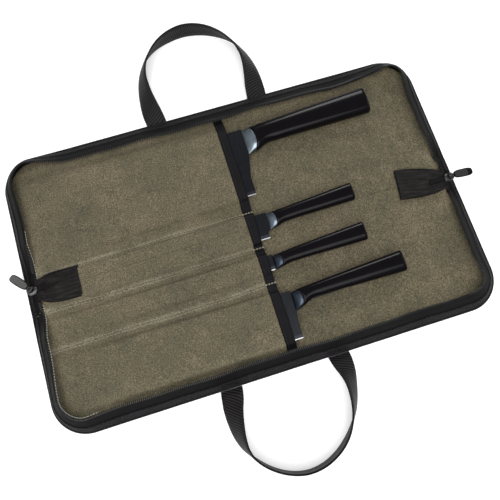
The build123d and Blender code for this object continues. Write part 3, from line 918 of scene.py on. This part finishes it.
# Sliders, closed chain and pulls
# Each slider is cast zinc, nickel plated, with a bridge over a pin. Its pull is a steel link
# moulded into a rubber paddle: light grey on the left, dark with a black end cap on the right.
SLIDER_X = {"left": -222.5, "right": 222.5}
SLIDER_Y = {"left": 2.0, "right": -8.5}
PULL_HEADING = {"left": 131.0, "right": 0.0}
PADDLE_TURN = {"left": 0.0, "right": -4.0}
PULL_END = {"left": 25.0, "right": 24.6}
CAP_LENGTH = {"left": 0.9, "right": 5.4}
CHAIN_HEIGHT = 12.4
CHAIN_TEETH, CHAIN_PITCH = 15, 1.25
CHAIN_RINGS = ((-0.75, 0.42), (0.45, 0.5), (0.85, 0.3))
PIN_HEIGHT = 17.0
EYE_RADIUS = 1.35
nickel = Finish("dark_nickel", (0.12, 0.12, 0.125), 0.28, Metallic=1.0)
tarnish = nickel.cloudy(4, 3)
nickel.feed("Base Color", nickel.mixed(tarnish, (0.015, 0.015, 0.016), (0.16, 0.16, 0.165)))
nickel.feed("Roughness", tarnish * 0.3 + 0.15)
nickel.raise_by(nickel.cloudy(1.6, 2), 0.06)


def moulded(name, colour, pale, pitch):
    rubber = Finish(name, colour, 0.6, Specular_IOR_Level=0.1)
    scuffs = rubber.cloudy(2.4, 3, 0.6)
    rubber.feed("Base Color", rubber.mixed(scuffs, colour, pale))
    rubber.feed("Roughness", scuffs * 0.2 + 0.5)
    rubber.raise_by(scuffs + rubber.cloudy(pitch, 1), 0.1)
    return rubber


grey_rubber = moulded("grey_rubber", (0.058, 0.058, 0.056), (0.115, 0.115, 0.112), 1.1)
dark_rubber = moulded("dark_rubber", (0.018, 0.018, 0.0183), (0.040, 0.040, 0.0405), 1.1)
black_rubber = moulded("black_rubber", (0.001, 0.001, 0.001), (0.0035, 0.0035, 0.0036), 0.8)


def lens_slab(name, outline, low, high, soft, origin, heading, finish):
    """A slab with softened rims, from an outline round a local origin turned to a heading."""
    turn = math.radians(heading)
    rings = []
    outline = np.array(outline, float)
    middle = outline.mean(axis=0)
    levels = [(soft * 2, low), (soft * 0.6, low + soft * 0.3), (0, low + soft)]
    levels += [(0, high - soft), (soft * 0.6, high - soft * 0.3), (soft * 2, high)]
    for shrink, z in levels:
        gaps = outline - middle
        sizes = np.linalg.norm(gaps, axis=1)[:, None]
        ring = middle + gaps * np.maximum(1 - shrink / np.maximum(sizes, 0.1), 0.05)
        x = ring[:, 0] * math.cos(turn) - ring[:, 1] * math.sin(turn)
        y = ring[:, 0] * math.sin(turn) + ring[:, 1] * math.cos(turn)
        spun = np.column_stack([x, y])
        rings.append(np.column_stack([spun + origin[:2], np.full(len(ring), z)]))
    sides = len(outline)
    last = (len(rings) - 1) * sides
    caps = [tuple(range(sides - 1, -1, -1)), tuple(last + k for k in range(sides))]
    faces = net(len(rings), sides, True) + caps
    return piece_of(name, np.concatenate(rings), faces, finish)


def rounded_outline(start, end, first_half, last_half, power=2.6, count=40):
    """A lozenge with full ends, from start to end, whose half width changes along it."""
    middle, half = (start + end) / 2, (end - start) / 2
    outline = []
    for k in range(count):
        angle = 2 * math.pi * k / count
        u = math.copysign(abs(math.cos(angle)) ** (2 / power), math.cos(angle))
        v = math.copysign(abs(math.sin(angle)) ** (2 / power), math.sin(angle))
        wide = first_half + (last_half - first_half) * (u + 1) / 2
        outline.append((middle + half * u, wide * v))
    return outline


def rod(name, path, radius, finish, sides=10):
    """A round rod or wire along points in millimetres."""
    path = np.array(path, float)
    ways = np.gradient(path, axis=0)
    ways /= np.linalg.norm(ways, axis=1)[:, None]
    reference = np.array([0.31, 0.17, 0.93])
    angles = np.linspace(0, 2 * math.pi, sides, endpoint=False)
    rings = []
    for centre, way in zip(path, ways):
        first = np.cross(way, reference)
        first /= np.linalg.norm(first)
        second = np.cross(way, first)
        ring = [first * math.cos(a) + second * math.sin(a) for a in angles]
        rings.append([centre + radius * outwards for outwards in ring])
    faces = [face[::-1] for face in tube(len(path), sides)]
    return piece_of(name, np.array(rings), faces, finish)


def ways_of(turn):
    """The ways ahead and beside of something turned from +x, in radians."""
    ahead = np.array([math.cos(turn), math.sin(turn), 0])
    beside = np.array([-math.sin(turn), math.cos(turn), 0])
    return ahead, beside


def joined(name, pieces):
    """Several small meshes made one piece."""
    chosen = {"selected_editable_objects": pieces, "selected_objects": pieces}
    with bpy.context.temp_override(active_object=pieces[0], object=pieces[0], **chosen):
        bpy.ops.object.join()
    pieces[0].name = name
    return pieces[0]


for end, side in (("left", -1), ("right", 1)):
    origin = np.array([SLIDER_X[end], SLIDER_Y[end], PIN_HEIGHT])
    facing = 0.0 if side > 0 else 180.0
    turn = math.radians(PULL_HEADING[end])
    ahead, beside = ways_of(turn)
    plate, neck = rounded_outline(-5.4, 5.4, 3.3, 4.5), rounded_outline(2.2, 4.6, 1.4, 0.9)
    pin = [origin + beside * reach for reach in (-3.1, -1.5, 0, 1.5, 3.1)]
    parts = [
        lens_slab("plate_high", plate, 13.3, 14.6, 0.5, origin, facing, nickel),
        lens_slab("plate_low", plate, 10.1, 11.4, 0.5, origin, facing, nickel),
        lens_slab("neck", neck, 10.8, 13.9, 0.2, origin, facing, nickel),
        rod("pin", pin, 0.75, nickel),
    ]
    for way in (-1, 1):
        foot = origin + beside * way * 2.75
        post = [foot + (0, 0, drop) for drop in (-2.9, -1.8, -0.6, 0.2, 0.7)]
        parts.append(rod("post", post, 0.95, nickel))
    slider = joined(f"slider_body_{end}", parts)
    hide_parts(f"slider_{end}")
    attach(slider, "spine")

    teeth, faces = [], []
    for step in range(CHAIN_TEETH):
        x = origin[0] - side * (3.0 + step * CHAIN_PITCH)
        sag = -0.25 * max(step - 8, 0) * 0.3
        for way in (-1, 1):
            base = len(teeth)
            shift = 0.62 * way * side * 0.5
            for z, wide in CHAIN_RINGS:
                for a, b in SQUARE:
                    y = origin[1] + way * 1.05 + b * 1.35
                    teeth.append((x + shift + a * wide, y, CHAIN_HEIGHT + sag + z))
            faces += tooth(base)
    chain = piece_of(f"closed_chain_{end}", teeth, faces, coil_plastic)
    chain.data.polygons.foreach_set("use_smooth", [False] * len(chain.data.polygons))
    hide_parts(f"zipper_end_{end}")
    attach(chain, "spine")

    angles = np.linspace(math.pi * 0.08, math.pi * 1.92, 18)
    up = np.array([0, 0, 1.0])
    ring = [
        origin + ahead * (EYE_RADIUS * math.cos(a)) + up * (EYE_RADIUS * math.sin(a))
        for a in angles
    ]
    bar = [origin + ahead * reach for reach in (1.2, 3.0, 5.0, 7.2)]
    cross = [origin + ahead * 4.6 + beside * reach for reach in (-1.6, -0.6, 0.6, 1.6)]
    loops = []
    for wire, way in ((ring, -0.8), (ring, 0.8), (bar, 0.8), (bar, -0.8)):
        loops.append(rod("wire", [point + beside * way for point in wire], 0.5, nickel, 8))
    loops.append(rod("cross", cross, 0.45, nickel, 8))
    link = joined(f"pull_eyes_{end}", loops)
    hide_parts(f"pull_link_{end}")
    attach(link, f"pull_{end}")

    turn += math.radians(PADDLE_TURN[end])
    ahead, beside = ways_of(turn)
    body = grey_rubber if end == "left" else dark_rubber
    low, high = PIN_HEIGHT - 1.2, PIN_HEIGHT + 1.2
    heading = math.degrees(turn)
    outline = rounded_outline(4.0, PULL_END[end], 4.1, 4.5, 3.4, 64)
    rim = lens_slab("rim", outline, low, high - 0.25, 0.5, origin, heading, black_rubber)
    outline = rounded_outline(5.0, PULL_END[end] - CAP_LENGTH[end], 3.3, 3.7, 3.6, 64)
    face = lens_slab("face", outline, low + 0.2, high + 0.1, 0.35, origin, heading, body)
    ribs = []
    for step in range(7):
        reach = 6.6 + step * 1.7
        middle = origin + ahead * reach
        line = [middle + beside * across + (0, 0, 1.27) for across in (-2.3, -0.8, 0.8, 2.3)]
        ribs.append(rod("rib", line, 0.32, body, 8))
    pull = joined(f"pull_paddle_{end}", [rim, face] + ribs)
    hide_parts(f"pull_{end}")
    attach(pull, f"pull_{end}")


# Knives
# Four kitchen knives. The blade and its tang are one piece of dark polished steel, the bolster is
# forged round the blade's heel, and the black handle is moulded over the tang, flush with it.
KNIVES = {
    # name: front of the bolster, tilt, thickness, (along, above, below) sections
    "broad_knife": (
        (28.0, 93.5),
        1.9,
        15.0,
        [
            (0, 12.9, 15.0), (11, 14.0, 12.6), (23, 14.9, 7.4), (38, 15.7, 7.0), (90, 18.4, 7.3),
            (140, 20.9, 7.7),
        ],
    ),
    "utility_knife": (
        (24.5, 2.0),
        2.2,
        12.0,
        [
            (0, 8.2, 10.0), (8, 8.3, 8.2), (16, 8.8, 5.8), (27, 9.5, 5.2), (60, 11.5, 5.2),
            (94, 13.6, 5.3),
        ],
    ),
    "paring_knife": (
        (17.0, -40.5),
        2.2,
        12.0,
        [
            (0, 6.0, 9.0), (8, 6.6, 7.6), (16, 7.3, 6.0), (28, 8.1, 5.8), (62, 10.2, 6.5),
            (99, 12.3, 7.3),
        ],
    ),
    "chef_knife": (
        (22.7, -82.0),
        1.9,
        15.0,
        [
            (0, 5.6, 14.0), (9, 7.1, 11.0), (20, 7.8, 6.4), (34, 8.7, 6.1), (75, 11.0, 7.1),
            (119, 13.4, 8.3),
        ],
    ),
}
AROUND, LENGTHWISE = 56, 44
FRONT_THICKNESS, GRIP_SQUARENESS = 3.2, 3.4
GRIP_GAP = 0.12
GROUND_WIDTH = 1.0

handle_gloss = Finish("handle_gloss", (0.004, 0.0035, 0.0042), 0.14, Specular_IOR_Level=0.12)
film = handle_gloss.cloudy(26, 3)
specks = handle_gloss.cloudy(0.8, 2, 0.7)
handle_gloss.feed(
    "Base Color", handle_gloss.mixed(film, (0.0016, 0.0014, 0.0018), (0.0042, 0.0032, 0.0046))
)
handle_gloss.feed("Roughness", film * 0.08 + specks * 0.06 + 0.09)
handle_gloss.raise_by(specks, 0.03)


def forged_steel(name, dull, bright):
    steel = Finish(name, bright, 0.3, Metallic=1.0)
    brushed = steel.cloudy(2.4, 2, 0.5, None, (0.3, 1.0, 1.0))
    # The steel mottles between the knife's dull and bright colours, which carry its painted
    # reflection.
    steel.feed("Base Color", steel.mixed(steel.cloudy(9, 2), dull, bright))
    steel.feed("Roughness", brushed * 0.12 + 0.24)
    steel.raise_by(brushed, 0.015)
    return steel


def ground_blade(name, edge_y):
    """Dark polished steel, ground bright in a narrow band along the cutting edge."""
    steel = Finish(name, (0.03, 0.032, 0.037), 0.3, Metallic=0.9)
    brushed = steel.cloudy(0.7, 3, 0.7, None, (1.0, 0.1, 1.0))
    across = steel.node("ShaderNodeSeparateXYZ", {}, {"Vector": steel.place()}, "Y")
    ground = ((edge_y + GROUND_WIDTH) * MM - across) * 2500
    polished = steel.mixed(brushed, (0.009, 0.010, 0.0125), (0.028, 0.029, 0.034))
    steel.feed("Base Color", steel.mixed(ground.held(), polished, (0.42, 0.43, 0.45)))
    steel.feed("Roughness", brushed * 0.25 + 0.22)
    steel.raise_by(brushed, 0.03)
    return steel


# Painted reflection: every bolster is the same steel, given its own dull and bright colours for how
# brightly it reflects, lightest on the broad knife.
BOLSTER_REFLECTION_TONES = {
    "broad_knife": ((0.10, 0.125, 0.150), (0.34, 0.41, 0.46)),
    "utility_knife": ((0.055, 0.066, 0.085), (0.22, 0.26, 0.31)),
    "paring_knife": ((0.018, 0.022, 0.031), (0.060, 0.075, 0.100)),
    "chef_knife": ((0.022, 0.028, 0.038), (0.070, 0.088, 0.115)),
}
EDGE_Y = {"broad_knife": 33.5, "utility_knife": -15.8, "paring_knife": -49.2, "chef_knife": -122.7}
BLUNT_FRONT = [(0.9, 0.25), (0.5, 0.3)]
ROUNDED_BUTT = [(0.985, 0.35), (0.955, 0.7), (0.90, 0.95), (0.6, 1.0), (0.2, 1.0)]


def knife_frame(name):
    """Where the knife's front face stands, and its ways along and up."""
    (front_x, front_y), tilt, thick, _ = KNIVES[name]
    slope = math.radians(tilt)
    origin = np.array([front_x, front_y, LINING_TOP + 0.3 + thick / 2])
    along_way = np.array([math.cos(slope), 0, math.sin(slope)])
    return origin, along_way, np.array([-math.sin(slope), 0, math.cos(slope)])


def grip_section(name, along):
    """The grip's outline across its length: points round it, in (y, z) of the knife's own plane."""
    _, _, thick, sections = KNIVES[name]
    table = np.array(sections)
    knots = table[:, 0]
    above, below = (float(soft_interp(along, knots, table[:, k])) for k in (1, 2))
    rise = min(max(along / knots[1], 0), 1)
    deep = FRONT_THICKNESS + (thick - FRONT_THICKNESS) * math.sin(rise * math.pi / 2) ** 0.9
    angles = np.linspace(0, 2 * math.pi, AROUND, endpoint=False)
    u = np.sign(np.cos(angles)) * np.abs(np.cos(angles)) ** (2 / GRIP_SQUARENESS)
    v = np.sign(np.sin(angles)) * np.abs(np.sin(angles)) ** (2 / GRIP_SQUARENESS)
    y = (above - below) / 2 + (above + below) / 2 * u
    z = deep / 2 * v * (1 - 0.10 * np.abs(u) ** 2)
    return y, z


def soft_interp(x, knots, values):
    """Smooth line through known sections, without overshoot."""
    slopes = np.gradient(values, knots)
    k = int(np.clip(np.searchsorted(knots, x) - 1, 0, len(knots) - 2))
    span = knots[k + 1] - knots[k]
    t = (x - knots[k]) / span
    first = (2 * t**3 - 3 * t**2 + 1) * values[k] + (t**3 - 2 * t**2 + t) * span * slopes[k]
    return first + (-2 * t**3 + 3 * t**2) * values[k + 1] + (t**3 - t**2) * span * slopes[k + 1]


def bolster_edge(name, y):
    """Where the bolster gives way to the handle: a curve that bulges towards the butt."""
    sections = KNIVES[name][3]
    (_, above, below), (second, above_2, below_2) = sections[0], sections[1]
    middle = (above_2 - below_2) / 2 - 2.0
    half = (above + below + 6) / 2
    share = np.clip((y - middle) / half, -1, 1)
    return 1.0 + (second - 0.4) * np.sqrt(np.maximum(1 - share**2, 0)) ** 0.9


def grip_rows(name, starts, ends, shrink_start, shrink_end):
    """Rings of the grip between two edges given round the section; the ends close to a rim."""
    origin, along_way, up_way = knife_frame(name)
    rings = []
    for step in range(LENGTHWISE):
        share = step / (LENGTHWISE - 1)
        ring = []
        for k in range(AROUND):
            along = starts[k] + (ends[k] - starts[k]) * share
            y, z = grip_section(name, along)
            ring.append(origin + along_way * along + np.array([0, y[k], 0]) + up_way * z[k])
        rings.append(ring)
    rings = np.array(rings)

    def closing(ring, steps, way):
        middle = ring.mean(axis=0)
        return [middle + (ring - middle) * size + along_way * way * push for size, push in steps]

    first, last = closing(rings[0], shrink_start, -1), closing(rings[-1], shrink_end, 1)
    return np.concatenate([first[::-1], rings, last])


for name in KNIVES:
    forged = forged_steel(f"{name}_forged_steel", *BOLSTER_REFLECTION_TONES[name])
    last = KNIVES[name][3][-1][0]
    y, _ = grip_section(name, 6.0)
    edge = bolster_edge(name, y)
    for _ in range(3):
        widths = [grip_section(name, max(along, 0))[0][k] for k, along in enumerate(edge)]
        edge = np.array([bolster_edge(name, y) for y in widths])
    butt = np.full(AROUND, last - 1.0)
    bolster = grip_rows(name, np.zeros(AROUND), edge, BLUNT_FRONT, [(0.9, 0.02), (0.4, 0.02)])
    handle = grip_rows(name, edge + GRIP_GAP, butt, [(0.9, -0.02), (0.4, -0.02)], ROUNDED_BUTT)
    for part, rings, finish in (("bolster", bolster, forged), ("handle", handle, handle_gloss)):
        piece = piece_of(f"{name}_{part}_shaped", rings, tube(len(rings), AROUND), finish)
        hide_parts(f"{name}_{part}")
        f"{part}_{'steel' if part == 'bolster' else 'black'}"
        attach(piece, name)
    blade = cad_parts[f"{name}_blade"]
    blade.data.materials.clear()
    blade.data.materials.append(ground_blade(f"{name}_blade_steel", EDGE_Y[name]).material)


# Carry handles
# One length of ribbed webbing to each half. Its ends lie flat where they are sewn under the edge;
# each leg turns over, inner edge upwards, until the crown of the loop stands on its edge.
WEB_WIDTH, WEB_THICKNESS = 22.0, 1.8
PRESSED_RUN, FOOT_GAP = 5.6, 0.5
STRAP_RINGS, CUP, STRAP_CLEARANCE = 170, 0.4, 0.45
HANDLES = {
    # half: (x, distance out from the case's edge, turn in degrees), from the left foot to the right
    "upper": [
        (-57.0, 0.0, 0), (-57.8, 6, 8), (-59.2, 16, 26), (-60.0, 27, 41), (-59.8, 39, 52),
        (-58.4, 51, 61), (-54.6, 63, 66), (-47.0, 75.5, 69), (-35, 86.5, 76), (-18, 94.5, 86),
        (1, 97.5, 90), (20, 93.5, 86), (36, 84.5, 77), (47.5, 73.5, 68), (54.8, 61.5, 63),
        (59.0, 49, 57), (60.6, 36, 46), (60.4, 23, 32), (59.2, 10, 14), (58.5, 0.0, 0),
    ],
    "lower": [
        (-61.0, 0.0, 0), (-62.2, 8, 12), (-64.6, 19, 31), (-65.9, 33, 48), (-65.6, 46, 62),
        (-63.3, 57, 76), (-57.6, 67.5, 88), (-47.5, 78.5, 90), (-33, 88, 90), (-15, 93.2, 90),
        (3, 91.5, 90), (19, 84.5, 90), (30.5, 75.5, 88), (38.5, 66, 82), (45.5, 54, 72),
        (50.0, 40, 62), (52.0, 28, 52), (52.3, 17, 33), (51.4, 8, 14), (50.5, 0.0, 0),
    ],
}
under_side = [(-1, -0.55), (-0.97, -1), (-0.5, -1), (0, -1), (0.5, -1), (0.97, -1), (1, -0.55)]
outline = under_side + [(-u, -v) for u, v in under_side]
for half, knots in HANDLES.items():
    side = 1 if half == "upper" else -1
    knots = np.array(knots, float)
    spans = np.concatenate([[0], np.cumsum(np.hypot(*np.diff(knots[:, :2], axis=0).T))])
    marks = np.linspace(0, spans[-1], STRAP_RINGS)
    lines = [[soft_interp(mark, spans, knots[:, k]) for mark in marks] for k in range(3)]
    x, out, turn = (np.array(line) for line in lines)
    turn = np.radians(np.clip(smoothed(turn, 3), 0, 90))
    turn[0] = turn[-1] = 0
    ways = np.column_stack([np.gradient(x), side * np.gradient(out), np.zeros_like(x)])
    ways /= np.linalg.norm(ways, axis=1)[:, None]
    free = np.clip(np.minimum(marks, marks[::-1]) / 14, 0, 1)[:, None]
    square = np.column_stack([marks * 0, np.where(marks < spans[-1] / 2, side, -side), marks * 0])
    ways = ways * free + square * (1 - free)
    ways /= np.linalg.norm(ways, axis=1)[:, None]
    inwards = np.column_stack([ways[:, 1], -ways[:, 0], np.zeros_like(x)]) * side
    up = np.array([0, 0, 1.0])
    rings, flat = [], []
    for k in range(len(marks)):
        across = inwards[k] * math.cos(turn[k]) + up * math.sin(turn[k])
        thick = np.cross(ways[k], across) * side * -1
        pressed = min(max(min(marks[k], spans[-1] - marks[k]) / PRESSED_RUN, 0.1), 1)
        lift = STRAP_CLEARANCE + WEB_THICKNESS * pressed / 2 * math.cos(turn[k])
        lift += WEB_WIDTH / 2 * math.sin(turn[k])
        centre = np.array([x[k], side * (CASE_WIDTH / 2 + FOOT_GAP + out[k]), lift])
        cup = CUP * math.sin(turn[k])
        ring = []
        for u, v in outline:
            deep = v * WEB_THICKNESS * pressed / 2 + cup * (1 - u * u)
            ring.append(centre + across * u * WEB_WIDTH / 2 + thick * deep)
        rings.append(ring)
        flat.append([(marks[k], u * WEB_WIDTH / 2 + (0 if v < 0 else 40)) for u, v in outline])
    rings = np.array(rings)
    faces = [face[::-1] for face in tube(len(rings), len(outline))]
    strap = piece_of(f"carry_handle_{half}_webbing", rings, faces, webbing, flat)
    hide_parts(f"carry_handle_{half}")
    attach(strap, f"carry_handle_{half}")


# Strap tails and edge seam
# Each strap end runs in under the case's edge and is box-stitched to the outside of the cover. A
# row of black lock stitches runs round the cover, where the walls are sewn to it.
TAIL_LENGTH, TAIL_INSET, TAIL_TOP = 36.0, 0.4, 1.0
TAIL_BOX = [(-9, 4), (9, 4), (9, 32), (-9, 32), (-9, 4), (9, 32), (9, 4), (-9, 32)]
TAIL_PITCH, TAIL_SEAM_HEIGHT = 3.2, 0.34
EDGE_PITCH, EDGE_STITCH, EDGE_SEAM_INSET, EDGE_SEAM_HEIGHT = 3.8, 2.7, 3.4, 0.5
for half, knots in HANDLES.items():
    side = 1 if half == "upper" else -1
    for number, middle in enumerate((knots[0][0], knots[-1][0])):
        across, inwards = np.linspace(-1, 1, 23), np.linspace(0, 1, 30)
        x = middle + np.tile(across * WEB_WIDTH / 2, (len(inwards), 1))
        y = np.repeat(inwards[:, None] * TAIL_LENGTH, len(across), axis=1)
        y = side * (CASE_WIDTH / 2 - TAIL_INSET - y)
        by_sides = 1 - np.abs(across)[None, :] ** 8
        rim = np.minimum(by_sides, 1 - np.abs(inwards * 2 - 1)[:, None] ** 16)
        low = 0.42 - 0.37 * np.sqrt(np.clip(rim, 0, 1)) + 0.03 * slow_waves(x, y, 5 + number, 24)
        flat = np.dstack([y, x])
        grid = np.dstack([x, y, np.full_like(x, TAIL_TOP)])
        deep = np.dstack([x, y, np.maximum(low, 0.02)])
        if side < 0:
            grid, deep, flat = grid[::-1], deep[::-1], flat[::-1]
        grid, deep, flat = grid[:, ::-1], deep[:, ::-1], flat[:, ::-1]
        tail = layer_of(f"strap_tail_{half}_{number + 1}", grid, deep, webbing, flat)
        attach(tail, f"{half}_half")
        legs = []
        for (a, b), (c, d) in zip(TAIL_BOX, TAIL_BOX[1:]):
            count = int(math.hypot(c - a, d - b) / TAIL_PITCH)
            for k in range(count):
                parts = (k + 0.1, k + 0.85)
                spots = [(a + (c - a) * s / count, b + (d - b) * s / count) for s in parts]
                edge = CASE_WIDTH / 2 - TAIL_INSET
                legs.append([(middle + u, side * (edge - v), TAIL_SEAM_HEIGHT) for u, v in spots])
        box_seam = stitches(f"tail_seam_{half}_{number + 1}", legs, 0.24, black_thread)
        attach(box_seam, f"{half}_half")
    points, inward, _, _, along = wall_shape(half)
    edge = points + inward * EDGE_SEAM_INSET
    edge = np.column_stack([edge, np.full(len(edge), EDGE_SEAM_HEIGHT)])
    marks = np.arange(along[0] + 1, along[-1] - 3, EDGE_PITCH)
    ends = [on_line(marks + shift, along, edge) for shift in (0, EDGE_STITCH)]
    edge_seam = stitches(f"edge_seam_{half}", list(zip(*ends)), 0.26, black_thread)
    bend_at_fold(edge_seam, half)
